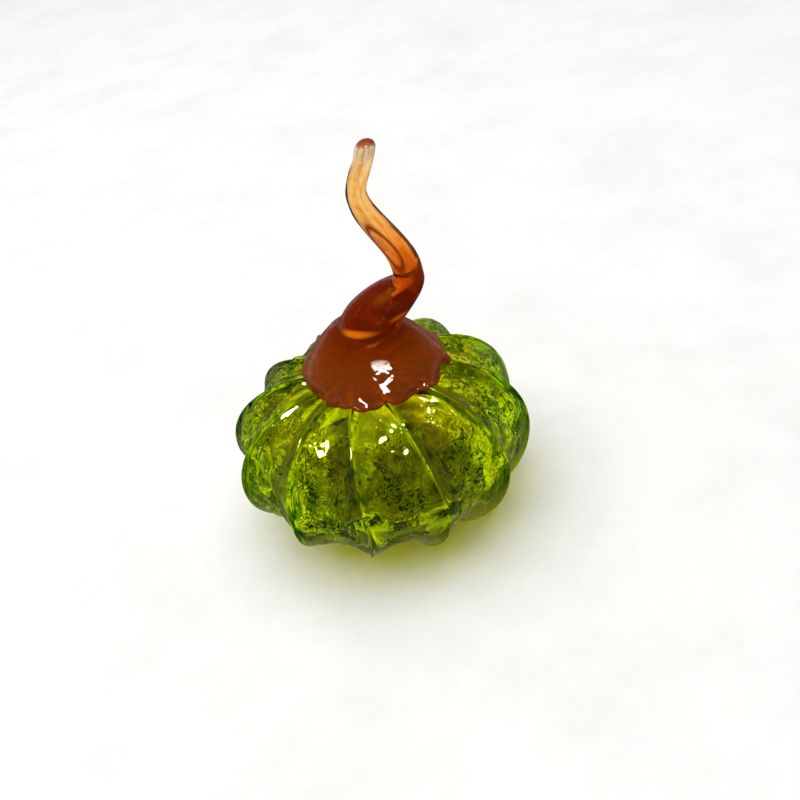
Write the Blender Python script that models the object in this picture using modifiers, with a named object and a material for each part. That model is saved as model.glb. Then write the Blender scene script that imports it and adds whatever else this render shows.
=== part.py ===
"""Blown glass pumpkin ornament: a ribbed hollow body with a poured glass collar and curled stem.

Metres, +Z up. The body stands on a flat spot ground on its underside, at z = 0.
The stem is one piece of solid glass, laid over the neck hole that the blowpipe left.
"""

import math

import bmesh
import bpy
from mathutils import Vector

MM = 0.001
COLLECTION = "glass_pumpkin"

# Body: the outline that runs along the crest of a rib
BODY_RADIUS = 37.8 * MM
EQUATOR_HEIGHT = 20.9 * MM
SHOULDER_RISE = 20.0 * MM
CROWN_RADIUS = 10.2 * MM
FOOT_RADIUS = 13.9 * MM
SHOULDER_POWER = 0.87
OUTER_STEP = 9
NECK_RADIUS = 6.0 * MM
NECK_DIP = 0.5 * MM
NECK_EASE = 0.4 * MM

# Hollow: a smooth bubble inside the ribs
WALL_AT_FLUTE = 2.9 * MM
FLOOR_THICKNESS = 3.6 * MM
CROWN_THICKNESS = 3.2 * MM
HOLLOW_FOOT_RADIUS = 8.0 * MM
INNER_STEP = 15

# Ribs: sharp crests with rounded flutes between them
RIB_COUNT = 12
COLUMNS_PER_RIB = 6
RIB_START = math.radians(-11.3)
FLUTE_DEPTH = 3.3 * MM
FLUTE_AT_CROWN = 0.4
RIB_DRIFT = math.radians(-21.0)
DRIFT_POWER = 1.5

# Lean: the soft glass slumped a little before it set
TOP_SHIFT = -4.1 * MM
SIDE_RISE = 0.05

# Collar: the poured skirt, as (radius, height) from its top down to where it is cut off
COLLAR_CENTRE = (0.2 * MM, 0.3 * MM)
COLLAR_PROFILE = (
    (0.0, 55.0), (6.0, 54.4), (8.5, 52.6), (10.6, 50.4), (12.4, 48.4), (14.2, 46.2), (15.8, 44.2),
    (17.0, 42.3), (17.3, 41.2), (16.8, 40.2), (16.2, 39.0), (15.9, 37.0), (0.0, 37.0),
)
COLLAR_OVAL = 0.08
COLLAR_OVAL_TURN = math.radians(-20)
FIT_GAP = 0.3 * MM

# Stem: ovals lying level, as (height, centre x, centre y, half width, half depth)
STEM_STATIONS = (
    (99.5, 9.8, -0.8, 0.8, 0.8),
    (98.9, 9.7, -0.8, 1.7, 1.6),
    (97.4, 9.4, -0.7, 2.35, 2.2),
    (95.0, 8.6, -0.4, 2.4, 2.2),
    (91.9, 7.1, 0.1, 2.55, 2.25),
    (87.5, 5.45, 0.7, 2.4, 2.3),
    (84.2, 5.7, 1.1, 2.65, 2.5),
    (81.0, 6.7, 1.4, 3.1, 2.7),
    (77.9, 8.15, 1.5, 3.35, 2.95),
    (74.9, 9.7, 1.5, 3.5, 3.1),
    (71.9, 11.2, 1.5, 3.55, 3.2),
    (69.0, 12.45, 1.4, 3.55, 3.35),
    (66.1, 13.1, 1.2, 3.55, 3.5),
    (63.6, 13.1, 1.0, 3.7, 3.7),
    (62.3, 12.0, 0.8, 4.8, 4.4),
    (61.0, 9.5, 0.6, 6.9, 5.8),
    (59.4, 7.3, 0.4, 8.1, 6.7),
    (57.6, 5.2, 0.2, 8.6, 7.2),
    (55.8, 3.5, 0.0, 8.5, 7.5),
    (54.0, 2.0, 0.0, 8.3, 7.8),
    (52.2, 1.0, 0.0, 8.3, 8.0),
    (50.0, 0.5, 0.0, 8.0, 8.0),
)
STEM_COLUMNS = 20
RINGS_PER_STATION = 2

SMOOTH_ANGLE = math.radians(40)
MERGE_DISTANCE = 1e-6


def clear_scene():
    """Removes every object that the scene holds."""
    for obj in list(bpy.data.objects):
        bpy.data.objects.remove(obj, do_unlink=True)


def new_collection(name):
    """Makes a collection in the scene."""
    collection = bpy.data.collections.new(name)
    bpy.context.scene.collection.children.link(collection)
    return collection


def glass(name, color, roughness):
    """A clear coloured glass."""
    material = bpy.data.materials.new(name)
    material.use_nodes = True
    shader = material.node_tree.nodes["Principled BSDF"]
    shader.inputs["Base Color"].default_value = (*color, 1.0)
    shader.inputs["Roughness"].default_value = roughness
    shader.inputs["Metallic"].default_value = 0.0
    shader.inputs["Transmission Weight"].default_value = 1.0
    shader.inputs["IOR"].default_value = 1.5
    return material


def crest_point(angle):
    """Radius and height of a crest, from 90 degrees at the crown to -90 at the edge of the foot."""
    reach = abs(math.cos(angle))
    if angle > 0:
        radius = CROWN_RADIUS + (BODY_RADIUS - CROWN_RADIUS) * reach**SHOULDER_POWER
        return radius, EQUATOR_HEIGHT + SHOULDER_RISE * math.sin(angle)
    radius = FOOT_RADIUS + (BODY_RADIUS - FOOT_RADIUS) * reach
    return radius, EQUATOR_HEIGHT * (1 + math.sin(angle))


def hollow_point(angle):
    """Radius and height of the hollow's wall, from 90 degrees at the neck to -90 on its floor."""
    reach = abs(math.cos(angle))
    widest = BODY_RADIUS - FLUTE_DEPTH - WALL_AT_FLUTE
    if angle > 0:
        radius = NECK_RADIUS + (widest - NECK_RADIUS) * reach**SHOULDER_POWER
        return radius, EQUATOR_HEIGHT + (SHOULDER_RISE - CROWN_THICKNESS) * math.sin(angle)
    radius = HOLLOW_FOOT_RADIUS + (widest - HOLLOW_FOOT_RADIUS) * reach
    return radius, EQUATOR_HEIGHT + (EQUATOR_HEIGHT - FLOOR_THICKNESS) * math.sin(angle)


def flute_weight(angle):
    """How deep the flutes are along a crest: full at the widest place, shallow at crown and foot."""
    if angle > 0:
        return FLUTE_AT_CROWN + (1 - FLUTE_AT_CROWN) * math.cos(angle)
    return abs(math.cos(angle)) ** 0.5


def outer_profile():
    """The outside from the rim of the neck to the foot, as (radius, height, flute weight)."""
    rim = (NECK_RADIUS + NECK_EASE, EQUATOR_HEIGHT + SHOULDER_RISE - NECK_DIP, 0.0)
    angles = [math.radians(d) for d in range(90, -91, -OUTER_STEP)]
    return [rim] + [(*crest_point(angle), flute_weight(angle)) for angle in angles]


def inner_profile():
    """The hollow from its floor up to the neck, as (radius, height, flute weight)."""
    degrees = range(-90, 91, INNER_STEP)
    return [(*hollow_point(math.radians(d)), 0.0) for d in degrees]


def turned(name, profile, columns, collection):
    """Turns a profile about Z. The third value of each profile point goes into a vertex group."""
    mesh = bpy.data.meshes.new(name)
    edges = [(i, i + 1) for i in range(len(profile) - 1)]
    mesh.from_pydata([(radius, 0.0, height) for radius, height, _ in profile], edges, [])
    obj = bpy.data.objects.new(name, mesh)
    collection.objects.link(obj)
    group = obj.vertex_groups.new(name="flutes")
    for index, (_, _, weight) in enumerate(profile):
        group.add([index], weight, "REPLACE")
    screw = obj.modifiers.new("turn", "SCREW")
    screw.axis = "Z"
    screw.steps = screw.render_steps = columns
    screw.use_merge_vertices = True
    screw.merge_threshold = MERGE_DISTANCE
    screw.use_normal_calculate = False
    return obj


def flute_depth(turn):
    """Depth at an angle round the body: nothing on a crest, full midway between two crests."""
    return abs(math.sin(RIB_COUNT * turn / 2))


def slump(x, y, z):
    """The lean of the set glass: the top slides sideways and one side stands taller."""
    height = EQUATOR_HEIGHT + SHOULDER_RISE
    return Vector((x + TOP_SHIFT * z / height, y, z * (1 + SIDE_RISE * x / BODY_RADIUS)))


def shape_ribs(obj, grown=0.0):
    """Presses the flutes in along the normals, lets the ribs drift below the equator, and leans it."""
    apply_modifiers(obj)
    mesh = obj.data
    normals = [vertex.normal.copy() for vertex in mesh.vertices]
    for vertex, normal in zip(mesh.vertices, normals):
        weight = sum(member.weight for member in vertex.groups)
        turn = math.atan2(vertex.co.y, vertex.co.x)
        spot = vertex.co + normal * (grown - FLUTE_DEPTH * weight * flute_depth(turn))
        drop = min(max(1 - spot.z / EQUATOR_HEIGHT, 0.0), 1.0)
        drift = RIB_DRIFT * (math.asin(drop) / (math.pi / 2)) ** DRIFT_POWER
        around = turn - math.pi / 2 + RIB_START + drift
        radius = math.hypot(spot.x, spot.y)
        vertex.co = slump(radius * math.cos(around), radius * math.sin(around), spot.z)
    obj.vertex_groups.clear()
    mesh.update()


def apply_modifiers(obj):
    """Replaces the object's mesh by its evaluated one."""
    bpy.context.view_layer.update()
    graph = bpy.context.evaluated_depsgraph_get()
    mesh = bpy.data.meshes.new_from_object(obj.evaluated_get(graph))
    obj.modifiers.clear()
    obj.data = mesh
    bpy.context.view_layer.update()


def make_body(collection):
    """The hollow ribbed body, open at the neck."""
    floor = [(0.0, FLOOR_THICKNESS, 0.0)]
    neck = [(NECK_RADIUS, EQUATOR_HEIGHT + SHOULDER_RISE - CROWN_THICKNESS / 2, 0.0)]
    foot = [(0.0, 0.0, 0.0)]
    profile = floor + inner_profile() + neck + outer_profile() + foot
    body = turned("body", profile, RIB_COUNT * COLUMNS_PER_RIB, collection)
    shape_ribs(body)
    return body


def make_body_cutter(collection):
    """The body's outside as a filled solid, grown by the gap that the stem keeps to it."""
    crown = [(0.0, EQUATOR_HEIGHT + SHOULDER_RISE - NECK_DIP, 0.0)]
    profile = crown + outer_profile() + [(0.0, 0.0, 0.0)]
    cutter = turned("body_cutter", profile, RIB_COUNT * COLUMNS_PER_RIB, collection)
    shape_ribs(cutter, grown=FIT_GAP)
    cutter.hide_render = True
    cutter.display_type = "WIRE"
    return cutter


def make_collar(collection):
    """The poured skirt as a turned solid, drawn out into an oval."""
    profile = [(radius * MM, height * MM, 0.0) for radius, height in COLLAR_PROFILE]
    collar = turned("stem", profile, RIB_COUNT * COLUMNS_PER_RIB, collection)
    apply_modifiers(collar)
    for vertex in collar.data.vertices:
        turn = math.atan2(vertex.co.y, vertex.co.x)
        reach = 1 + COLLAR_OVAL * math.cos(2 * (turn - COLLAR_OVAL_TURN))
        vertex.co.x = vertex.co.x * reach + COLLAR_CENTRE[0]
        vertex.co.y = vertex.co.y * reach + COLLAR_CENTRE[1]
    return collar


def between(before, start, end, after, share):
    """A smooth value between start and end, by Catmull and Rom's rule."""
    return 0.5 * (
        2 * start
        + (end - before) * share
        + (2 * before - 5 * start + 4 * end - after) * share**2
        + (3 * start - before - 3 * end + after) * share**3
    )


def stem_sections():
    """The stations with smooth ones put in between them."""
    last = len(STEM_STATIONS) - 1
    sections = []
    for index in range(last):
        around = [STEM_STATIONS[min(max(index + step, 0), last)] for step in (-1, 0, 1, 2)]
        for part in range(RINGS_PER_STATION):
            share = part / RINGS_PER_STATION
            sections.append([between(*values, share) for values in zip(*around)])
    return sections + [STEM_STATIONS[last]]


def make_stem_rod(collection):
    """The curled rod and the lump at its root, a loft through level ovals closed at both ends."""
    bm = bmesh.new()
    rings = []
    for height, x, y, half_width, half_depth in stem_sections():
        ring = []
        for column in range(STEM_COLUMNS):
            turn = 2 * math.pi * column / STEM_COLUMNS
            spot = (x + half_width * math.cos(turn), y + half_depth * math.sin(turn), height)
            ring.append(bm.verts.new(Vector(spot) * MM))
        rings.append(ring)
    for upper, lower in zip(rings, rings[1:]):
        for column in range(STEM_COLUMNS):
            beside = (column + 1) % STEM_COLUMNS
            bm.faces.new((upper[column], lower[column], lower[beside], upper[beside]))
    bm.faces.new(rings[0])
    bm.faces.new(reversed(rings[-1]))
    mesh = bpy.data.meshes.new("stem_rod")
    bmesh.ops.recalc_face_normals(bm, faces=bm.faces)
    bm.to_mesh(mesh)
    bm.free()
    rod = bpy.data.objects.new("stem_rod", mesh)
    collection.objects.link(rod)
    rod.hide_render = True
    rod.display_type = "WIRE"
    return rod


def combine(obj, other, operation):
    """Joins or cuts obj with another solid and applies the result."""
    boolean = obj.modifiers.new(operation.lower(), "BOOLEAN")
    boolean.operation = operation
    boolean.object = other
    boolean.solver = "EXACT"
    apply_modifiers(obj)


def make_stem(collection, cutters):
    """One solid: the collar joined to the rod, hollowed underneath to sit on the ribs."""
    stem = make_collar(collection)
    combine(stem, make_stem_rod(cutters), "UNION")
    combine(stem, make_body_cutter(cutters), "DIFFERENCE")
    return stem


def finish(obj, material):
    """Gives an object its glass and smooth shading."""
    obj.data.materials.clear()
    obj.data.materials.append(material)
    obj.data.shade_smooth()
    obj.data.set_sharp_from_angle(angle=SMOOTH_ANGLE)


def centre_on_foot(objects):
    """Slides the whole ornament so that its box is centred on the origin, with its foot at z = 0."""
    spots = [vertex.co for obj in objects for vertex in obj.data.vertices]
    slide = Vector([(min(s[i] for s in spots) + max(s[i] for s in spots)) / 2 for i in (0, 1)] + [0])
    for obj in objects:
        for vertex in obj.data.vertices:
            vertex.co -= slide
        obj.data.update()


def main():
    clear_scene()
    collection = new_collection(COLLECTION)
    cutters = new_collection("cutters")
    body = make_body(collection)
    stem = make_stem(collection, cutters)
    finish(body, glass("green_glass", (0.42, 0.56, 0.03), 0.03))
    finish(stem, glass("amber_glass", (0.75, 0.22, 0.03), 0.04))
    centre_on_foot([body, stem])


main()
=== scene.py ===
"""Dresses the blown glass pumpkin: a crackled green body, and an amber collar with its curled stem.

Metres, +Z up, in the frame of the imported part. Every piece is a closed surface worked out on a grid.
"""

import logging
import math
from dataclasses import dataclass
from enum import Enum

import bpy
import numpy as np
from mathutils import Matrix, Vector


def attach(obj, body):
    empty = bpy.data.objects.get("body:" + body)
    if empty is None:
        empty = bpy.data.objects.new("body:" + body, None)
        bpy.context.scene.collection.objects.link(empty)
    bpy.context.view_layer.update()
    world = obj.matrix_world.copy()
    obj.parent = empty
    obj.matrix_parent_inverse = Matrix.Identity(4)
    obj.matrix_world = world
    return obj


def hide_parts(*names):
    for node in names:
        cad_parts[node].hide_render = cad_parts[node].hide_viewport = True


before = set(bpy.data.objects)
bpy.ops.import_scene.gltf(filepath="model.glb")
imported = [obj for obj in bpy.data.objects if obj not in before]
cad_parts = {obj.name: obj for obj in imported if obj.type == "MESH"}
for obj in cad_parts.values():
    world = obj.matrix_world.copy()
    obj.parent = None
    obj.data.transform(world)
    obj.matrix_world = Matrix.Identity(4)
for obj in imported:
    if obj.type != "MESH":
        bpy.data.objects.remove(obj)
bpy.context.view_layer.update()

MM = 0.001
TURN = 2 * math.pi
FOOT_CENTRE_X = 2.107 * MM

log = logging.getLogger("glass_pumpkin")

Array = np.ndarray


class Slot(Enum):
    """The record's material slots."""

    GREEN = "green_glass"
    AMBER = "amber_glass"


# Shared sums


def smooth_step(values: Array, start: float, end: float) -> Array:
    """Rises from 0 at start to 1 at end with flat ends: 3t squared less 2t cubed.

    Args:
        values: Where to read it.
        start: Where it leaves 0.
        end: Where it reaches 1.

    Returns:
        A share for each value.
    """
    share = np.clip((values - start) / (end - start), 0.0, 1.0)
    return share * share * (3 - 2 * share)


def smooth_larger(first: Array, second: Array, blend: float) -> Array:
    """The larger of two lengths with a rounded corner: half of a + b + root((a - b) squared + k squared).

    Args:
        first: One length.
        second: The other.
        blend: k, the width of the rounding.

    Returns:
        The blended length.
    """
    return 0.5 * (first + second + np.sqrt((first - second) ** 2 + blend**2))


def wave_field(points: Array, wavelength: float, seed: int, count: int = 28) -> Array:
    """An even, wandering relief: plane waves of one length in seeded directions, summed to a spread of 1.

    Args:
        points: Places, with x, y and z in the last axis.
        wavelength: Length of every wave.
        seed: Picks the directions and phases.
        count: Number of waves.

    Returns:
        The sum at each place.
    """
    draw = np.random.default_rng(seed)
    directions = draw.normal(size=(count, 3))
    directions /= np.linalg.norm(directions, axis=1, keepdims=True)
    phases = draw.uniform(0.0, TURN, count)
    waves = np.cos(points @ (directions.T * TURN / wavelength) + phases)
    return waves.sum(axis=-1) * math.sqrt(2.0 / count)


def catmull_rom(knots: Array, places: Array) -> Array:
    """Smooth values through rows of knots by Catmull and Rom's rule.

    Args:
        knots: One row for each knot.
        places: Where to read, in knots from the first.

    Returns:
        One row for each place.
    """
    last = len(knots) - 1
    index = np.minimum(places.astype(int), last - 1)
    share = (places - index)[:, None]
    before, start, end, after = (knots[np.clip(index + step, 0, last)] for step in (-1, 0, 1, 2))
    return 0.5 * (
        2 * start
        + (end - before) * share
        + (2 * before - 5 * start + 4 * end - after) * share**2
        + (3 * start - before - 3 * end + after) * share**3
    )


def closed_skin(name: str, rows: Array, tags: dict[str, Array]) -> bpy.types.Object:
    """Makes a closed mesh from rings of points, the first and last of which shrink to a pole.

    Args:
        name: Name of the piece.
        rows: Rings by columns by x, y and z.
        tags: Vector attributes, each as rings by columns by three.

    Returns:
        The object, at the origin, with faces that point outwards.
    """
    rings, columns, _ = rows.shape
    inner = rings - 2
    spots = np.concatenate([rows[0, :1], rows[1:-1].reshape(-1, 3), rows[-1, :1]])
    here = 1 + np.arange(inner * columns).reshape(inner, columns)
    beside = np.roll(here, -1, axis=1)
    quads = np.stack([here[:-1], here[1:], beside[1:], beside[:-1]], axis=-1).reshape(-1, 4)
    top = np.stack([np.zeros(columns, int), here[0], beside[0]], axis=-1)
    bottom = np.stack([np.full(columns, len(spots) - 1), beside[-1], here[-1]], axis=-1)
    corners = spots[np.concatenate([quads[:, :3], quads[:, [0, 2, 3]], top, bottom])]
    if np.linalg.det(corners).sum() < 0:
        quads, top, bottom = quads[:, ::-1], top[:, ::-1], bottom[:, ::-1]
    mesh = bpy.data.meshes.new(name)
    mesh.from_pydata(spots.tolist(), [], quads.tolist() + top.tolist() + bottom.tolist())
    for tag, values in tags.items():
        flat = np.concatenate([values[0, :1], values[1:-1].reshape(-1, 3), values[-1, :1]])
        layer = mesh.attributes.new(tag, "FLOAT_VECTOR", "POINT")
        layer.data.foreach_set("vector", flat.astype(np.float32).ravel())
    mesh.shade_smooth()
    piece = bpy.data.objects.new(name, mesh)
    bpy.context.scene.collection.objects.link(piece)
    return piece


# Finishes


class NodeBench:
    """Adds and links the nodes of one material or world."""

    def __init__(self, tree: bpy.types.NodeTree) -> None:
        """Clears the tree."""
        self.tree = tree
        tree.nodes.clear()

    def add(self, kind: str, values: dict | None = None, **settings: object) -> bpy.types.Node:
        """Adds a node.

        Args:
            kind: Blender's name for the node.
            values: Sockets to set, or to feed from another node's output.
            settings: Properties of the node.

        Returns:
            The node.
        """
        node = self.tree.nodes.new(kind)
        for name, setting in settings.items():
            setattr(node, name, setting)
        for name, value in (values or {}).items():
            socket = node.inputs[name]
            if isinstance(value, bpy.types.NodeSocket):
                self.tree.links.new(value, socket)
            else:
                socket.default_value = value
        return node

    def ramp(self, source: bpy.types.NodeSocket, stops: list[tuple[float, tuple]]) -> bpy.types.NodeSocket:
        """Adds a colour ramp.

        Args:
            source: What drives it.
            stops: Places with their colours.

        Returns:
            The colour output.
        """
        node = self.add("ShaderNodeValToRGB", {"Fac": source})
        bar = node.color_ramp.elements
        while len(bar) > 1:
            bar.remove(bar[-1])
        bar[0].position, bar[0].color = stops[0][0], (*stops[0][1], 1.0)
        for place, color in stops[1:]:
            bar.new(place).color = (*color, 1.0)
        return node.outputs["Color"]

    def math(self, operation: str, *terms: object) -> bpy.types.NodeSocket:
        """Adds a sum of one, two or three terms and returns its output."""
        node = self.add("ShaderNodeMath", {i: term for i, term in enumerate(terms)}, operation=operation)
        return node.outputs["Value"]

    def noise(
        self, vector: bpy.types.NodeSocket, scale: float, detail: float, **values: float
    ) -> bpy.types.NodeSocket:
        """Adds a noise pattern and returns its value from 0 to 1."""
        sockets = {"Vector": vector, "Scale": scale, "Detail": detail, **values}
        return self.add("ShaderNodeTexNoise", sockets).outputs["Fac"]

    def mix(self, share: object, first: object, second: object, way: str = "MIX") -> bpy.types.NodeSocket:
        """Mixes or multiplies two colours.

        Args:
            share: How much of the second, as a number or a socket.
            first: A socket or a colour.
            second: A socket or a colour.
            way: Blender's name for the kind of mixing.

        Returns:
            The colour output.
        """
        ends = [end if isinstance(end, bpy.types.NodeSocket) else (*end, 1.0) for end in (first, second)]
        sockets = {"Factor": share, "A": ends[0], "B": ends[1]}
        return self.add("ShaderNodeMix", sockets, data_type="RGBA", blend_type=way).outputs["Result"]

    def split(self, vector: bpy.types.NodeSocket) -> object:
        """Splits a vector and returns its outputs X, Y and Z."""
        return self.add("ShaderNodeSeparateXYZ", {"Vector": vector}).outputs

    def tag(self, name: str) -> bpy.types.NodeSocket:
        """Reads one of the piece's vector attributes."""
        return self.add("ShaderNodeAttribute", attribute_name=name).outputs["Vector"]

    def place(self, kind: str = "Object") -> bpy.types.NodeSocket:
        """Reads where a point lies in the piece, or which way the room is looked at."""
        return self.add("ShaderNodeTexCoord").outputs[kind]


def new_material(name: str) -> tuple[bpy.types.Material, NodeBench]:
    """Makes an empty material and the bench for its nodes."""
    material = bpy.data.materials.new(name)
    material.use_nodes = True
    return material, NodeBench(material.node_tree)


def grey(tone: float) -> tuple[float, float, float]:
    """One tone in all three channels."""
    return tone, tone, tone


@dataclass(frozen=True)
class Glass:
    """Coloured glass: what it swallows for each metre, its tint on shadow rays, its highlights' colour."""

    name: str
    swallow: tuple[float, float, float]
    shadow: tuple[float, float, float]
    glint: tuple[float, float, float]
    ior: float = 1.5

    def finish(
        self,
        bench: NodeBench,
        tint: bpy.types.NodeSocket,
        normal: bpy.types.NodeSocket,
        roughness: bpy.types.NodeSocket | float,
        clear: bpy.types.NodeSocket,
        glint: bpy.types.NodeSocket | None = None,
    ) -> None:
        """Joins the glass to the material's output.

        Args:
            bench: The material's nodes.
            tint: Colour of the skin.
            normal: Its fine relief.
            roughness: Its polish.
            clear: How much of it is clear.
            glint: Colour of its highlights, where they differ over the skin.
        """
        skin = bench.add(
            "ShaderNodeBsdfPrincipled",
            {
                "Base Color": tint,
                "Roughness": roughness,
                "IOR": self.ior,
                "Specular Tint": glint or (*self.glint, 1.0),
                "Transmission Weight": clear,
                "Normal": normal,
            },
        )
        lamp_light = bench.add("ShaderNodeBsdfTransparent", {"Color": (*self.shadow, 1.0)})
        path = bench.add("ShaderNodeLightPath")
        either = bench.add("ShaderNodeMixShader", {0: path.outputs["Is Shadow Ray"]})
        bench.tree.links.new(skin.outputs["BSDF"], either.inputs[1])
        bench.tree.links.new(lamp_light.outputs["BSDF"], either.inputs[2])
        density = max(self.swallow)
        passed = tuple(1 - take / density for take in self.swallow)
        inside = bench.add("ShaderNodeVolumeAbsorption", {"Color": (*passed, 1.0), "Density": density})
        bench.add(
            "ShaderNodeOutputMaterial",
            {"Surface": either.outputs["Shader"], "Volume": inside.outputs["Volume"]},
        )


@dataclass(frozen=True)
class GreenGlass(Glass):
    """The body's yellow green glass: darker blotches, crackled flutes and a gold flush by the collar."""

    blotch_size: float = 5.5 * MM
    worm_size: float = 1.5 * MM
    drift_size: float = 10 * MM
    flush_size: float = 13 * MM
    bump: float = 0.30 * MM
    polish: float = 0.02
    crackle_share: float = 0.37
    # How much painted light by height lifts the tone.
    painted_light_share: float = 0.20
    blotch_share: float = 1.1
    blotch_shift: float = -0.07
    east_rise: float = 14.0
    relief_strength: float = 0.9
    gold: tuple[float, float, float] = (1.0, 0.56, 0.004)
    inner_wall: tuple[float, float, float] = (0.97, 0.98, 0.15)

    def material(self) -> bpy.types.Material:
        """Builds the material from Object coordinates and the piece's "ribs" attribute.

        The attribute holds how crackled the skin is, its place from the foot at 0 to the crown at 1, and
        1 on the hollow's wall, where the place is always the middle.
        """
        material, bench = new_material(self.name)
        place = bench.place()
        parts = bench.split(bench.tag("ribs"))
        flute = bench.ramp(parts["X"], [(0.22, grey(0.0)), (0.62, grey(1.0))])
        drift = bench.noise(place, 1 / self.drift_size, 2.0)
        patchy = bench.ramp(drift, [(0.40, grey(0.3)), (0.55, grey(1.0))])
        crackled = bench.math("MULTIPLY", flute, patchy)
        worms = bench.noise(place, 1 / self.worm_size, 2.5, Roughness=0.55, Distortion=1.8)
        marks = bench.ramp(worms, [(0.44, grey(0.0)), (0.495, grey(1.0))])
        pressed = bench.math("MULTIPLY", bench.math("SUBTRACT", marks, 0.5), crackled)
        blotches = bench.noise(place, 1 / self.blotch_size, 2.0, Roughness=0.5, Distortion=0.8)
        calmed = bench.math("MULTIPLY_ADD", blotches, self.blotch_share, self.blotch_shift)
        # Painted light by height: the tone is lifted most near the foot, where light gathers under the body,
        # and least just above the equator.
        level = bench.ramp(
            parts["Y"],
            [
                (0.30, grey(1.0)),
                (0.46, grey(0.5)),
                (0.60, grey(0.15)),
                (0.78, grey(0.25)),
                (0.9, grey(0.45)),
            ],
        )
        lit = bench.math("MULTIPLY_ADD", level, self.painted_light_share, calmed)
        mottle = bench.math("MULTIPLY_ADD", pressed, self.crackle_share, lit)
        tint = bench.ramp(
            mottle,
            [
                (0.33, (0.006, 0.05, 0.0005)),
                (0.41, (0.12, 0.28, 0.002)),
                (0.46, (0.74, 0.92, 0.004)),
                (0.51, (0.96, 1.0, 0.008)),
                (0.58, (1.0, 1.0, 0.012)),
            ],
        )
        band = bench.ramp(
            parts["Y"],
            [(0.50, grey(1.0)), (0.64, grey(0.78)), (0.78, grey(0.72)), (0.92, grey(0.92))],
        )
        toned = bench.mix(1.0, tint, band, "MULTIPLY")
        flow = bench.noise(place, 1 / self.flush_size, 2.0)
        flush = bench.ramp(flow, [(0.40, grey(0.1)), (0.52, grey(1.0))])
        shoulder = bench.ramp(parts["Y"], [(0.70, grey(0.0)), (0.84, grey(1.0))])
        across = bench.math("MULTIPLY_ADD", bench.split(place)["X"], self.east_rise, 0.5)
        side = bench.ramp(across, [(0.45, grey(0.3)), (0.65, grey(1.0))])
        golden = bench.math("MULTIPLY", bench.math("MULTIPLY", flush, shoulder), side)
        outer = bench.mix(golden, toned, self.gold)
        skin = bench.mix(parts["Z"], outer, self.inner_wall)
        height = bench.math("MULTIPLY", marks, crackled)
        bumps = {"Height": height, "Strength": self.relief_strength, "Distance": self.bump}
        relief = bench.add("ShaderNodeBump", bumps)
        clear = bench.ramp(parts["Y"], [(0.18, grey(0.60)), (0.43, grey(1.0))])
        self.finish(bench, skin, relief.outputs["Normal"], self.polish, clear)
        return material


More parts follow.
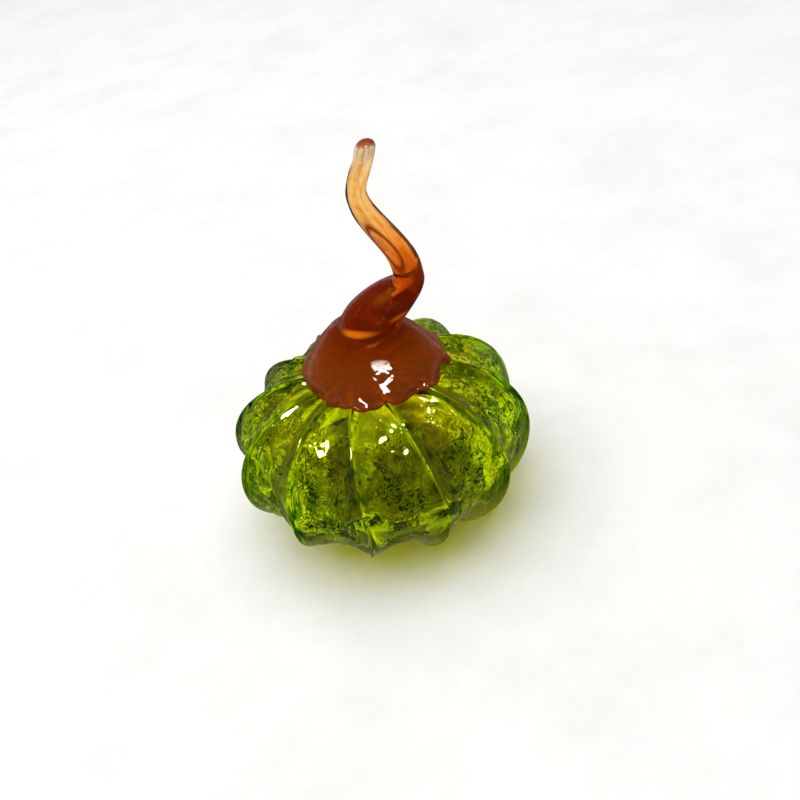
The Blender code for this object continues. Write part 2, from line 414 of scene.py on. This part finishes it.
@dataclass(frozen=True)
class AmberGlass(Glass):
    """The stem's amber glass: nearly clear at the tip, deep and cloudy in the collar, with drawn streaks."""

    clearness: float = 0.97
    lump_clearness: float = 0.86
    collar_clearness: float = 0.72
    milk_share: float = 0.7
    streaks: float = 2.4
    drawn_out: tuple[float, float, float] = (1.0, 1.0, 4.0)
    relief_strength: float = 0.6
    grain_size: float = 1.6 * MM
    wave_size: float = 2.6 * MM
    bump: float = 0.25 * MM
    # Painted light and shade: orange where light shines through, cloudy orange likewise, and dark red seen
    # through the glass.
    glow_orange: tuple[float, float, float] = (1.0, 0.40, 0.05)
    cloudy_glow_orange: tuple[float, float, float] = (0.95, 0.27, 0.012)
    painted_dark_red: tuple[float, float, float] = (0.30, 0.030, 0.003)

    def material(self) -> bpy.types.Material:
        """Builds the material from Object coordinates and the piece's two attributes.

        "flow" runs round the rod, as cosine and sine, and down it from the tip. "glow" holds painted light
        and shade: orange where light shines through, cloudy orange likewise, and dark red seen through it.
        """
        material, bench = new_material(self.name)
        place = bench.place()
        flow = bench.tag("flow")
        down = bench.split(flow)["Z"]
        spots = bench.split(bench.tag("glow"))
        drawn = bench.add("ShaderNodeVectorMath", {0: flow, 1: self.drawn_out}, operation="MULTIPLY")
        streaks = bench.noise(drawn.outputs["Vector"], self.streaks, 4.0, Roughness=0.65, Distortion=0.4)
        veil = bench.ramp(
            streaks,
            [(0.40, (0.74, 0.46, 0.22)), (0.50, (0.95, 0.84, 0.68)), (0.58, grey(1.0))],
        )
        grain = bench.noise(place, 1 / self.grain_size, 5.0, Roughness=0.7)
        cloud = bench.ramp(grain, [(0.34, (0.80, 0.70, 0.6)), (0.66, grey(1.0))])
        # Near white just under the cap: partly the clear tip, partly a painted highlight once the tip is
        # made cloudy.
        shade = bench.ramp(
            down,
            [
                (0.0, (0.50, 0.13, 0.06)),
                (0.009, (0.55, 0.16, 0.08)),
                (0.015, (1.0, 0.97, 0.93)),
                (0.045, (1.0, 0.96, 0.90)),
                (0.10, (1.0, 0.76, 0.50)),
                (0.22, (1.0, 0.70, 0.40)),
                (0.35, (0.96, 0.42, 0.09)),
                (0.375, (0.80, 0.28, 0.03)),
                (0.42, (0.60, 0.12, 0.004)),
                (0.56, (0.55, 0.10, 0.002)),
                (0.62, (0.60, 0.16, 0.001)),
                (0.90, (0.56, 0.14, 0.001)),
                (0.95, (0.6, 0.3, 0.1)),
            ],
        )
        rod = bench.ramp(down, [(0.34, grey(0.0)), (0.44, grey(1.0))])
        pattern = bench.mix(rod, veil, cloud)
        plain = bench.mix(1.0, shade, pattern, "MULTIPLY")
        # Painted light and shade from the glow attribute: cloudy orange, shining orange, then dark red.
        milky_glow = bench.mix(spots["Z"], plain, self.cloudy_glow_orange)
        painted_glow = bench.mix(spots["X"], milky_glow, self.glow_orange)
        tint = bench.mix(spots["Y"], painted_glow, self.painted_dark_red)
        polish = bench.ramp(down, [(0.92, grey(0.01)), (0.96, grey(0.2))])
        # The tip is cloudy, so the red-brown cap shows, and the near-white glass under it makes a white
        # patch, a painted highlight.
        depth = bench.ramp(
            down,
            [
                (0.0, grey(0.45)),
                (0.03, grey(0.60)),
                (0.06, grey(self.clearness)),
                (0.40, grey(self.clearness)),
                (0.46, grey(self.lump_clearness)),
                (0.57, grey(self.lump_clearness)),
                (0.64, grey(self.collar_clearness)),
            ],
        )
        milk = bench.math("MAXIMUM", spots["Y"], spots["Z"])
        clear = bench.math("MULTIPLY", depth, bench.math("MULTIPLY_ADD", milk, -self.milk_share, 1.0))
        waves = bench.noise(place, 1 / self.wave_size, 2.0, Roughness=0.4)
        poured = bench.ramp(down, [(0.58, grey(0.0)), (0.66, grey(1.0))])
        height = bench.math("MULTIPLY", waves, poured)
        bumps = {"Height": height, "Strength": self.relief_strength, "Distance": self.bump}
        relief = bench.add("ShaderNodeBump", bumps)
        shine = bench.ramp(
            down,
            [(0.05, grey(0.7)), (0.07, grey(0.05)), (0.62, grey(0.05)), (0.66, self.glint)],
        )
        self.finish(bench, tint, relief.outputs["Normal"], polish, clear, shine)
        return material


# Body


@dataclass(frozen=True)
class RibbedForm:
    """The ribbed outside of the body, which the collar is poured over."""

    radius: float = 37.8 * MM
    equator: float = 20.9 * MM
    rise: float = 20.0 * MM
    crown: float = 10.2 * MM
    foot: float = 13.9 * MM
    shoulder_power: float = 0.87
    neck: float = 6.4 * MM
    neck_dip: float = 0.5 * MM
    ribs: int = 12
    rib_start: float = math.radians(-11.3)
    flute_depth: float = 3.3 * MM
    flute_at_crown: float = 0.4
    rib_drift: float = math.radians(-21)
    drift_power: float = 1.5
    top_shift: float = -4.1 * MM
    side_rise: float = 0.05

    @property
    def height(self) -> float:
        """Height of the crown."""
        return self.equator + self.rise

    def crest(self, angle: Array) -> tuple[Array, Array]:
        """Radius and height along a crest: a superellipse above the equator and an ellipse below it.

        Args:
            angle: From a quarter turn at the crown to minus a quarter turn at the foot.

        Returns:
            The radius and the height.
        """
        reach = np.clip(np.cos(angle), 0.0, 1.0)
        above = angle > 0
        upper = self.crown + (self.radius - self.crown) * reach**self.shoulder_power
        lower = self.foot + (self.radius - self.foot) * reach
        rise = np.where(above, self.rise, self.equator)
        return np.where(above, upper, lower), self.equator + rise * np.sin(angle)

    def flute_weight(self, angle: Array) -> Array:
        """Depth of the flutes along a crest: full at the equator, shallow at crown and foot."""
        reach = np.clip(np.cos(angle), 0.0, 1.0)
        above = self.flute_at_crown + (1 - self.flute_at_crown) * reach
        return np.where(angle > 0, above, np.sqrt(reach))

    def normal(self, angle: Array) -> tuple[Array, Array]:
        """Outward direction of the crest line, as its share along the radius and along Z."""
        step = 0.002
        edge = math.pi / 2 - step
        middle = np.clip(angle, -edge, edge)
        (r0, z0), (r1, z1) = self.crest(middle + step), self.crest(middle - step)
        length = np.hypot(r1 - r0, z1 - z0)
        return (z0 - z1) / length, (r1 - r0) / length

    def flute(self, turn: Array) -> Array:
        """Nothing on a crest and 1 midway between two: the size of the sine of half the ribs' turn."""
        return np.abs(np.sin(self.ribs * turn / 2))

    def place(self, radius: Array, height: Array, turn: Array) -> Array:
        """Turns section values into points: ribs drift round below the equator, and the top leans.

        Args:
            radius: Distance from the axis.
            height: Height before the lean.
            turn: Turn about the axis from the first crest.

        Returns:
            Points in the row frame.
        """
        drop = np.clip(1 - height / self.equator, 0.0, 1.0)
        drift = self.rib_drift * (np.arcsin(drop) / (math.pi / 2)) ** self.drift_power
        around = turn - math.pi / 2 + self.rib_start + drift
        x = radius * np.cos(around)
        y = radius * np.sin(around)
        tall = height * (1 + self.side_rise * x / self.radius)
        return np.stack([x + self.top_shift * height / self.height + FOOT_CENTRE_X, y, tall], axis=-1)

    def height_at(self, x: Array, y: Array) -> Array:
        """Height of the upper outside over a point of the plan, read back from the section at its flute.

        Args:
            x: Places in the row frame.
            y: Places in the row frame.

        Returns:
            The height.
        """
        angles = np.radians(np.linspace(90, 0, 181))
        crest_radius, crest_height = self.crest(angles)
        along, up = self.normal(angles)
        weight = self.flute_weight(angles)
        tall = np.full(np.shape(x), self.height)
        passes = 3
        steps = 16
        for _ in range(passes):
            east = x - FOOT_CENTRE_X - self.top_shift * tall / self.height
            reach = np.hypot(east, y)
            depth = self.flute(np.arctan2(y, east) + math.pi / 2 - self.rib_start)
            found = []
            for level in np.linspace(0, 1, steps + 1):
                pressed = self.flute_depth * weight * level
                radii = np.concatenate([[0.0, self.neck], crest_radius - pressed * along])
                low = self.height - self.neck_dip
                heights = np.concatenate([[low, low], crest_height - pressed * up])
                found.append(np.interp(reach, np.maximum.accumulate(radii), heights))
            stack = np.array(found)
            lower = np.minimum((depth * steps).astype(int), steps - 1)
            share = depth * steps - lower
            low_one = np.take_along_axis(stack, lower[None], axis=0)[0]
            high_one = np.take_along_axis(stack, lower[None] + 1, axis=0)[0]
            tall = low_one + (high_one - low_one) * share
            lifted = tall * (1 + self.side_rise * east / self.radius)
        return lifted


@dataclass
class CrackledBody:
    """The hollow body: ribbed and crackled outside, a wavy bubble inside, open at the neck.

    The fades are the section angles over which the relief comes or goes. The flutes' pairs do the same
    between a crest at 0 and the middle of a flute at 1.
    """

    form: RibbedForm
    finish: GreenGlass
    columns_per_rib: int = 44
    crowding: float = 0.35
    outer_rings: int = 122
    inner_rings: int = 36
    wall: float = 2.9 * MM
    floor: float = 3.6 * MM
    crown_wall: float = 3.2 * MM
    hollow_foot: float = 8.0 * MM
    neck_radius: float = 6.0 * MM
    bubble_wave: float = 0.55 * MM
    bubble_wavelength: float = 9.0 * MM
    thread_height: float = 0.34 * MM
    thread_width: float = 0.42 * MM
    worm_height: float = 0.13 * MM
    worm_wavelength: float = 1.9 * MM
    dent_height: float = 0.26 * MM
    dent_wavelength: float = 5.5 * MM
    patch_wavelength: float = 17.0 * MM
    pontil_radius: float = 6.0 * MM
    pontil_depth: float = 0.4 * MM
    pontil_edge: float = 0.1
    foot_rings: tuple[float, ...] = (0.8, 0.6, 0.5, 0.42, 0.3, 0.15)
    foot_fade: tuple[float, float] = (math.radians(-86), math.radians(-60))
    hem_fade: tuple[float, float] = (math.radians(-62), math.radians(-20))
    collar_fade: tuple[float, float] = (math.radians(60), math.radians(82))
    patch_range: tuple[float, float] = (-1.0, 0.9)
    worm_flutes: tuple[float, float] = (0.25, 0.8)
    worm_sharpness: float = 2.0
    dent_flutes: tuple[float, float] = (0.1, 0.7)
    dents_at_crown: float = 0.35

    def turns(self) -> Array:
        """Turns of the columns, crowded towards each crest: u less a share of the sine of its whole turn."""
        count = self.form.ribs * self.columns_per_rib
        even = np.arange(count) / self.columns_per_rib
        crowded = even - self.crowding / TURN * np.sin(TURN * even)
        return crowded * TURN / self.form.ribs

    def hollow(self, angle: Array) -> tuple[Array, Array]:
        """Radius and height of the bubble's wall, the crest's own curves drawn in by the glass."""
        form = self.form
        reach = np.clip(np.cos(angle), 0.0, 1.0)
        widest = form.radius - form.flute_depth - self.wall
        upper = self.neck_radius + (widest - self.neck_radius) * reach**form.shoulder_power
        lower = self.hollow_foot + (widest - self.hollow_foot) * reach
        rise = np.where(angle > 0, form.rise - self.crown_wall, form.equator - self.floor)
        return np.where(angle > 0, upper, lower), form.equator + rise * np.sin(angle)

    def inside(self, turn: Array) -> Array:
        """The bubble from its floor up to the neck, with soft waves pressed into its wall."""
        form = self.form
        angle = np.radians(np.linspace(-90, 90, self.inner_rings))[:, None] + 0 * turn
        radius, height = self.hollow(angle)
        points = form.place(radius, height, turn)
        calm = np.sqrt(np.clip(np.cos(angle), 0.0, 1.0))
        wave = self.bubble_wave * wave_field(points, self.bubble_wavelength, seed=11) * calm
        pole = form.place(0 * turn, np.full(turn.shape, self.floor), turn)
        neck = form.place(self.neck_radius + 0 * turn, form.height - self.crown_wall / 2 + 0 * turn, turn)
        wall = form.place(radius + wave, height, turn)
        return np.concatenate([pole, wall, neck])

    def outside_angles(self) -> Array:
        """The section angles of the outer rings."""
        return np.radians(np.linspace(90, -90, self.outer_rings))[:, None]

    def below_crown(self, angle: Array) -> Array:
        """1 on the sides of the body, and falling to 0 under the collar."""
        return 1 - smooth_step(angle, *self.collar_fade)

    def relief(self, points: Array, angle: Array, turn: Array) -> Array:
        """Height of the skin over the pressed flutes: threads on crests, worms and dents between them."""
        form = self.form
        pitch = TURN / form.ribs
        off_crest = (turn + pitch / 2) % pitch - pitch / 2
        radius, _ = form.crest(angle)
        flute = form.flute(turn)
        above_foot = smooth_step(angle, *self.foot_fade)
        above_hem = smooth_step(angle, *self.hem_fade)
        below_crown = self.below_crown(angle)
        thread = self.thread_height * np.exp(-((radius * off_crest / self.thread_width) ** 2))
        patches = smooth_step(wave_field(points, self.patch_wavelength, seed=5), *self.patch_range)
        worms = np.tanh(self.worm_sharpness * wave_field(points, self.worm_wavelength, seed=7))
        worms *= self.worm_height * patches * smooth_step(flute, *self.worm_flutes) * below_crown
        dents = self.dent_height * wave_field(points, self.dent_wavelength, seed=3)
        towards_crown = self.dents_at_crown + (1 - self.dents_at_crown) * below_crown
        dents *= smooth_step(flute, *self.dent_flutes) * towards_crown
        return (thread + (worms + dents) * above_hem) * above_foot

    def outside(self, turn: Array) -> tuple[Array, Array]:
        """The outside from the rim of the neck to the middle of the foot, and each ring's section angle."""
        form = self.form
        angle = self.outside_angles() + 0 * turn
        radius, height = form.crest(angle)
        along, up = form.normal(angle)
        flute = form.flute_depth * form.flute_weight(angle) * form.flute(turn)
        plain = form.place(radius - flute * along, height - flute * up, turn)
        lift = self.relief(plain, angle, turn) - flute
        skin = form.place(radius + lift * along, height + lift * up, turn)
        rim = form.place(form.neck + 0 * turn, form.height - form.neck_dip + 0 * turn, turn)
        flat = np.array(self.foot_rings)[:, None] * form.foot + 0 * turn
        start = (1 - self.pontil_edge) * self.pontil_radius
        end = (1 + self.pontil_edge) * self.pontil_radius
        recess = self.pontil_depth * (1 - smooth_step(flat, start, end))
        foot = form.place(flat, recess, turn)
        pole = form.place(0 * turn, self.pontil_depth + 0 * turn, turn)
        rings = [rim, skin, foot, pole]
        angles = [angle[:1], angle, angle[-1:] + 0 * flat, angle[-1:]]
        return np.concatenate(rings), np.concatenate(angles)

    def build(self) -> bpy.types.Object:
        """Makes the body.

        Returns:
            The piece, which stands for the CAD node body.
        """
        turn = self.turns()[None, :]
        inner = self.inside(turn)
        outer, angle = self.outside(turn)
        crackle = self.form.flute(turn) * self.below_crown(angle)
        tag = np.zeros((len(inner) + len(outer), turn.shape[1], 3))
        tag[len(inner):, :, 0] = crackle
        tag[len(inner):, :, 1] = angle / math.pi + 0.5
        tag[: len(inner), :, 1] = 0.5
        tag[: len(inner), :, 2] = 1.0
        piece = closed_skin("glass_body", np.concatenate([inner, outer]), {"ribs": tag})
        piece.data.materials.append(self.finish.material())
        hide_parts("body")
        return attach(piece, "root")


# Stem


@dataclass(frozen=True)
class Patch:
    """An oval patch of painted light or shade on the stem, or a ring round one, placed by turn and way down.
    """

    turn: float
    down: float
    half_turn: float
    half_length: float
    strength: float = 1.0
    ring: bool = False
    ring_width: float = 0.26

    def weight(self, turn: Array, down: Array) -> Array:
        """Its strength over the skin: flat in the middle with a soft edge, or a thin line round the oval.

        Args:
            turn: Turn of each column, in radians.
            down: Way down from the tip, to 0.6 at the foot of the lump.

        Returns:
            From 0 to the patch's strength for each place.
        """
        off = (np.degrees(turn) - self.turn + 180) % 360 - 180
        size = np.hypot(off / self.half_turn, (down - self.down) / self.half_length)
        line = np.exp(-(((size - 1) / self.ring_width) ** 2))
        shape = line if self.ring else np.exp(-(size**4))
        return self.strength * shape


def strongest(patches: tuple[Patch, ...], turn: Array, down: Array) -> Array:
    """The strongest of some patches at each place of the skin."""
    return np.max([patch.weight(turn, down) for patch in patches], axis=0)


@dataclass
class PouredStem:
    """The amber collar, the lump on it and the curled rod, drawn out of one gather of glass.

    A station is a ring's height, the x and y of its middle and its two half widths, in millimetres. A
    row of the skirt is radius and height. The pulls say how late its rings are stretched to the rim.
    """

    form: RibbedForm
    finish: AmberGlass
    stations: tuple[tuple[float, ...], ...] = (
        (99.5, 9.85, -0.8, 0.3, 0.3),
        (99.2, 9.8, -0.8, 1.25, 1.2),
        (98.6, 9.7, -0.8, 1.95, 1.85),
        (97.4, 9.4, -0.7, 2.4, 2.25),
        (95.0, 8.6, -0.4, 2.4, 2.2),
        (91.9, 7.1, 0.1, 2.55, 2.25),
        (87.5, 5.45, 0.7, 2.4, 2.3),
        (84.2, 5.7, 1.1, 2.65, 2.5),
        (81.0, 6.7, 1.4, 3.1, 2.7),
        (77.9, 8.15, 1.5, 3.35, 2.95),
        (74.9, 9.7, 1.5, 3.5, 3.1),
        (71.9, 11.2, 1.5, 3.55, 3.2),
        (69.0, 12.45, 1.4, 3.55, 3.35),
        (66.1, 13.1, 1.2, 3.55, 3.5),
        (63.6, 13.1, 1.0, 3.7, 3.7),
        (62.3, 12.0, 0.8, 4.8, 4.4),
        (61.0, 9.5, 0.6, 6.9, 5.8),
        (59.4, 7.3, 0.4, 8.1, 6.7),
        (57.6, 5.2, 0.2, 8.6, 7.2),
        (55.8, 3.5, 0.0, 8.5, 7.5),
        (54.0, 2.0, 0.0, 8.2, 7.7),
        (52.2, 1.0, 0.0, 7.8, 7.5),
        (50.6, 0.5, 0.0, 7.2, 7.0),
    )
    skirt: tuple[tuple[float, float], ...] = (
        (0.0, 55.0),
        (6.0, 54.4),
        (8.5, 52.6),
        (10.6, 50.4),
        (12.4, 48.4),
        (14.2, 46.2),
        (15.8, 44.2),
        (17.0, 42.3),
    )
    centre: tuple[float, float] = (0.2 * MM, 0.3 * MM)
    oval: float = 0.09
    oval_turn: float = math.radians(-20)
    columns: int = 288
    rings_per_station: int = 7
    skirt_rings: int = 34
    edge_rings: int = 9
    under_rings: int = 22
    crease: float = 0.5 * MM
    rim_mean: float = 17.6 * MM
    rim_corners: tuple[tuple[float, float], ...] = (
        (-163, 16.9),
        (-157, 16.1),
        (-142, 16.4),
        (-138, 17.5),
        (-130, 16.2),
        (-116, 17.6),
        (-109, 17.8),
        (-100, 16.8),
        (-92, 17.4),
        (-87, 17.0),
        (-82, 18.0),
        (-71, 17.0),
        (-64, 16.7),
        (-58, 17.2),
        (-51, 19.2),
        (-42, 18.6),
        (-34, 18.0),
        (-20, 17.0),
        (-17, 19.6),
        (-8, 18.7),
        (11, 18.0),
        (30, 18.8),
        (50, 17.2),
        (58, 18.0),
        (80, 16.6),
        (92, 17.6),
        (112, 16.8),
        (122, 18.2),
        (145, 17.6),
        (164, 19.3),
        (176, 17.6),
    )
    # Painted light: an orange patch on the bend, where light shines through the rod.
    painted_glow: tuple[Patch, ...] = (
        Patch(-132, 0.432, 22, 0.030),
    )
    # Painted light: cloudy orange patches where light shines through, one of them the crescent at the foot
    # of the lump.
    milky_glow: tuple[Patch, ...] = (
        Patch(-109, 0.561, 39, 0.011),
        Patch(-45, 0.530, 14, 0.014, strength=0.7),
    )
    # Painted shade: dark red seen through the rod, the almond's outline and its top, and a zone on the bend.
    deep: tuple[Patch, ...] = (
        Patch(-116, 0.302, 31, 0.070, ring=True),
        Patch(-126, 0.283, 18, 0.040, strength=0.6),
        Patch(-50, 0.400, 48, 0.030, strength=0.8),
    )
    edge_radius: float = 0.75 * MM
    edge_lean: float = math.radians(40)
    gap: float = 0.2 * MM
    seam: float = 0.2 * MM
    over_collar: tuple[float, float] = (54.5 * MM, 60 * MM)
    joined_below: float = 56 * MM
    skirt_start: float = 0.72
    even_pull: float = 2.2
    rim_pull: float = 9
    rim_lift: float = 7
    under_crowding: float = 0.8
    rod_share: float = 0.6
    skirt_share: float = 0.9

    def reach(self, turn: Array) -> Array:
        """How far the oval collar reaches at a turn, as a share of its mean radius."""
        return 1 + self.oval * np.cos(2 * (turn - self.oval_turn))

    def skirt_radius(self, height: Array, turn: Array) -> Array:
        """Radius of the skirt at a height, from its profile and its oval."""
        profile = np.array(self.skirt) * MM
        return np.interp(height, profile[::-1, 1], profile[::-1, 0]) * self.reach(turn)

    def rod(self, turn: Array) -> Array:
        """The rod and the lump as level rings about a centre that moves over to the collar's.

        The radius is where a ray from that centre meets the station's oval, joined smoothly with the skirt.
        """
        knots = np.array(self.stations) * MM
        count = (len(knots) - 1) * self.rings_per_station
        rows = catmull_rom(knots, np.arange(count + 1) / self.rings_per_station)
        height, x, y, wide, deep = (column[:, None] for column in rows.T)
        moved = 1 - smooth_step(height, *self.over_collar)
        east = x + (self.centre[0] - x) * moved
        north = y + (self.centre[1] - y) * moved
        dx, dy = (east - x) / wide, (north - y) / deep
        ux, uy = np.cos(turn) / wide, np.sin(turn) / deep
        along = ux * dx + uy * dy
        size = ux**2 + uy**2
        oval = (np.sqrt(np.maximum(along**2 - size * (dx**2 + dy**2 - 1), 0.0)) - along) / size
        skirt = self.skirt_radius(height, turn)
        joined = smooth_larger(oval, skirt, self.crease)
        radius = np.where(height < self.joined_below, joined, oval)
        spots = [east + radius * np.cos(turn), north + radius * np.sin(turn), height + 0 * radius]
        return np.stack(spots, axis=-1) + np.array([FOOT_CENTRE_X, 0, 0])

    def polar(self, radius: Array, turn: Array) -> tuple[Array, Array]:
        """A place of the plan from its radius and turn about the collar's centre."""
        x = self.centre[0] + FOOT_CENTRE_X + radius * np.cos(turn)
        return x, self.centre[1] + radius * np.sin(turn)

    def rim(self, turn: Array) -> Array:
        """Radius of the rim: even runs from corner to corner, each of them a tongue or a notch."""
        corners = np.array(self.rim_corners)
        return np.interp(np.degrees(turn), corners[:, 0], corners[:, 1] * MM, period=360)

    def skirt_skin(self, turn: Array) -> Array:
        """The outside of the skirt from under the lump to the rim's rounded edge, and on underneath it.

        The profile's own rings are stretched towards the rim, more the nearer they are to it.
        """
        knots = np.array(self.skirt[2:]) * MM
        places = np.linspace(self.skirt_start, len(knots) - 1, self.skirt_rings)
        rows = catmull_rom(knots, places)
        share = np.linspace(0, 1, self.skirt_rings)[:, None]
        rim = self.rim(turn)
        root = rim - self.edge_radius
        x, y = self.polar(root, turn)
        root_height = self.form.height_at(x, y) + self.gap
        top_radius = root + self.edge_radius * math.sin(self.edge_lean)
        top_height = root_height + self.edge_radius * (1 + math.cos(self.edge_lean))
        even = self.rim_mean * self.reach(turn)
        radius = rows[:, :1] * self.reach(turn)
        radius = radius + share**self.even_pull * (even - radius[-1])
        radius = radius + share**self.rim_pull * (top_radius - even)
        height = rows[:, 1:] + share**self.even_pull * (top_height.mean() - rows[-1, 1])
        height = height + share**self.rim_lift * (top_height - top_height.mean())
        bend = np.linspace(math.pi / 2 - self.edge_lean, -math.pi / 2, self.edge_rings)[1:, None]
        edge_radius = root + self.edge_radius * np.cos(bend)
        edge_height = root_height + self.edge_radius * (1 + np.sin(bend))
        inward = np.linspace(1, 0, self.under_rings)[1:, None] ** self.under_crowding
        under_radius = root * inward
        under_x, under_y = self.polar(under_radius, turn)
        under_height = self.form.height_at(under_x, under_y) + self.gap
        radius = np.concatenate([radius, edge_radius, under_radius])
        height = np.concatenate([height, edge_height, under_height])
        x, y = self.polar(radius, turn)
        return np.stack([x, y, height], axis=-1)

    def build(self) -> bpy.types.Object:
        """Makes the stem.

        Returns:
            The piece, which stands for the CAD node stem.
        """
        turn = (np.arange(self.columns) * TURN / self.columns)[None, :]
        rod = self.rod(turn)
        skirt = self.skirt_skin(turn)
        keep = rod[:, 0, 2] > skirt[0, :, 2].max() + self.seam
        rows = np.concatenate([rod[keep], skirt])
        steps = np.linalg.norm(np.diff(rows.mean(axis=1), axis=0), axis=1)
        down = np.concatenate([[0.0], np.cumsum(steps)])
        down = np.minimum(down / down[keep.sum() - 1] * self.rod_share, self.skirt_share)
        down[-self.under_rings :] = 1.0
        tag = np.zeros(rows.shape)
        tag[:, :, 0] = np.cos(turn)
        tag[:, :, 1] = np.sin(turn)
        tag[:, :, 2] = down[:, None]
        # Painted light in X and Z, painted shade in Y.
        glow = np.zeros(rows.shape)
        for channel, patches in enumerate((self.painted_glow, self.deep, self.milky_glow)):
            glow[:, :, channel] = strongest(patches, turn, down[:, None])
        piece = closed_skin("glass_stem", rows, {"flow": tag, "glow": glow})
        piece.data.materials.append(self.finish.material())
        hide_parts("stem")
        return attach(piece, "root")


# Studio


class LampRole(Enum):
    """What a lamp does: it washes the table with light, or glints in the glass."""

    WASH = "wash"
    GLINT = "glint"


@dataclass(frozen=True)
class Lamp:
    """A rectangular soft light, placed in degrees to the right of the camera's side and above the table.

    Where it names a piece, it reaches only that.
    """

    name: str
    role: LampRole
    azimuth: float
    elevation: float
    far: float
    width: float
    depth: float
    power: float
    only: str = ""


@dataclass
class Studio:
    """Pale table, soft lights, a plain room and the camera."""

    target: tuple[float, float, float] = (6.68 * MM, 0.0, 28.96 * MM)
    distance: float = 284.79 * MM
    elevation: float = math.radians(36.01)
    roll: float = math.radians(13)
    lens: float = 50.57
    table_half: float = 1.6
    smear_scale: float = 22.0
    lamps: tuple[Lamp, ...] = (
        Lamp("ceiling", LampRole.WASH, -120, 80, 1.1, 1.8, 1.8, 19.5),
        Lamp("window", LampRole.GLINT, -2, 43, 0.75, 0.34, 0.08, 4.0, "glass_stem"),
        Lamp("sill", LampRole.GLINT, -9, 14, 0.75, 0.12, 0.07, 1.0, "glass_stem"),
        Lamp("skylight", LampRole.GLINT, -66, 74, 0.75, 0.20, 0.14, 40.0, "glass_body"),
    )

    def table(self) -> None:
        """Lays the pale table, a single sheet with its top at z = 0."""
        half = self.table_half
        corners = [(-half, -half, 0), (half, -half, 0), (half, half, 0), (-half, half, 0)]
        mesh = bpy.data.meshes.new("table")
        mesh.from_pydata(corners, [], [(0, 1, 2, 3)])
        table = bpy.data.objects.new("table", mesh)
        bpy.context.scene.collection.objects.link(table)
        material, bench = new_material("white_table")
        smears = bench.noise(bench.place(), self.smear_scale, 6.0, Roughness=0.7)
        tone = bench.ramp(smears, [(0.3, (0.80, 0.80, 0.785)), (0.55, (0.86, 0.86, 0.845))])
        skin = bench.add("ShaderNodeBsdfPrincipled", {"Base Color": tone, "Roughness": 0.7})
        bench.add("ShaderNodeOutputMaterial", {"Surface": skin.outputs["BSDF"]})
        mesh.materials.append(material)
        table.visible_glossy = False

    def lamp(self, lamp: Lamp) -> None:
        """Hangs a soft light that faces the object.

        Args:
            lamp: The light's place, size and strength.
        """
        side, up = math.radians(lamp.azimuth), math.radians(lamp.elevation)
        way = Vector((math.sin(side) * math.cos(up), -math.cos(side) * math.cos(up), math.sin(up)))
        light = bpy.data.lights.new(lamp.name, "AREA")
        light.shape = "RECTANGLE"
        light.size, light.size_y = lamp.width, lamp.depth
        light.energy = lamp.power
        hung = bpy.data.objects.new(lamp.name, light)
        hung.location = Vector(self.target) + way * lamp.far
        hung.rotation_euler = way.to_track_quat("Z", "Y").to_euler()
        hung.visible_glossy = lamp.role is not LampRole.WASH
        hung.visible_transmission = False
        hung.visible_diffuse = lamp.role is not LampRole.GLINT
        bpy.context.scene.collection.objects.link(hung)
        if lamp.only:
            lit = bpy.data.collections.new(lamp.name + "_reaches")
            lit.objects.link(bpy.data.objects[lamp.only])
            hung.light_linking.receiver_collection = lit

    def room(self) -> None:
        """A plain room: pale at the horizon, dim above and below it."""
        world = bpy.data.worlds.new("room")
        bpy.context.scene.world = world
        world.use_nodes = True
        bench = NodeBench(world.node_tree)
        up = bench.split(bench.place("Generated"))["Z"]
        tone = bench.ramp(
            bench.math("MULTIPLY_ADD", up, 0.5, 0.5),
            [
                (0.44, grey(0.16)),
                (0.455, grey(0.48)),
                (0.515, grey(0.48)),
                (0.575, grey(0.24)),
                (0.72, grey(0.14)),
                (1.0, grey(0.20)),
            ],
        )
        sky = bench.add("ShaderNodeBackground", {"Color": tone, "Strength": 1.0})
        bench.add("ShaderNodeOutputWorld", {"Surface": sky.outputs["Background"]})

    def camera(self) -> None:
        """Aims the camera at the target, rolled so that the ornament stands level."""
        across = Vector((1, 0, 0))
        over = Vector((0, math.sin(self.elevation), math.cos(self.elevation)))
        back = Vector((0, -math.cos(self.elevation), math.sin(self.elevation)))
        right = across * math.cos(self.roll) - over * math.sin(self.roll)
        up = across * math.sin(self.roll) + over * math.cos(self.roll)
        spot = Vector(self.target) + back * self.distance
        data = bpy.data.cameras.new("camera")
        data.lens = self.lens
        data.clip_start = 0.01
        camera = bpy.data.objects.new("camera", data)
        camera.matrix_world = Matrix((right, up, back)).transposed().to_4x4()
        camera.location = spot
        bpy.context.scene.collection.objects.link(camera)
        bpy.context.scene.camera = camera

    def build(self) -> None:
        """Sets up everything round the object."""
        self.table()
        self.room()
        for lamp in self.lamps:
            self.lamp(lamp)
        self.camera()
        bpy.context.scene.cycles.caustics_reflective = False
        bpy.context.scene.cycles.caustics_refractive = False
        view = bpy.context.scene.view_settings
        view.view_transform = "Standard"
        view.look = "Medium High Contrast"


def main() -> None:
    """Builds the body, the stem and the studio, and reports each piece."""
    logging.basicConfig(level=logging.INFO, format="%(message)s")
    form = RibbedForm()
    green = GreenGlass(
        Slot.GREEN.value,
        swallow=(30.0, 12.0, 900.0),
        shadow=(0.69, 0.65, 0.70),
        glint=(0.45, 0.55, 0.12),
    )
    amber = AmberGlass(
        Slot.AMBER.value,
        swallow=(8.0, 45.0, 150.0),
        shadow=(0.74, 0.68, 0.62),
        glint=(1.0, 0.92, 0.85),
    )
    for piece in (CrackledBody(form, green).build(), PouredStem(form, amber).build()):
        log.info("%s: %d faces", piece.name, len(piece.data.polygons))
    Studio().build()


if __name__ == "__main__":
    main()
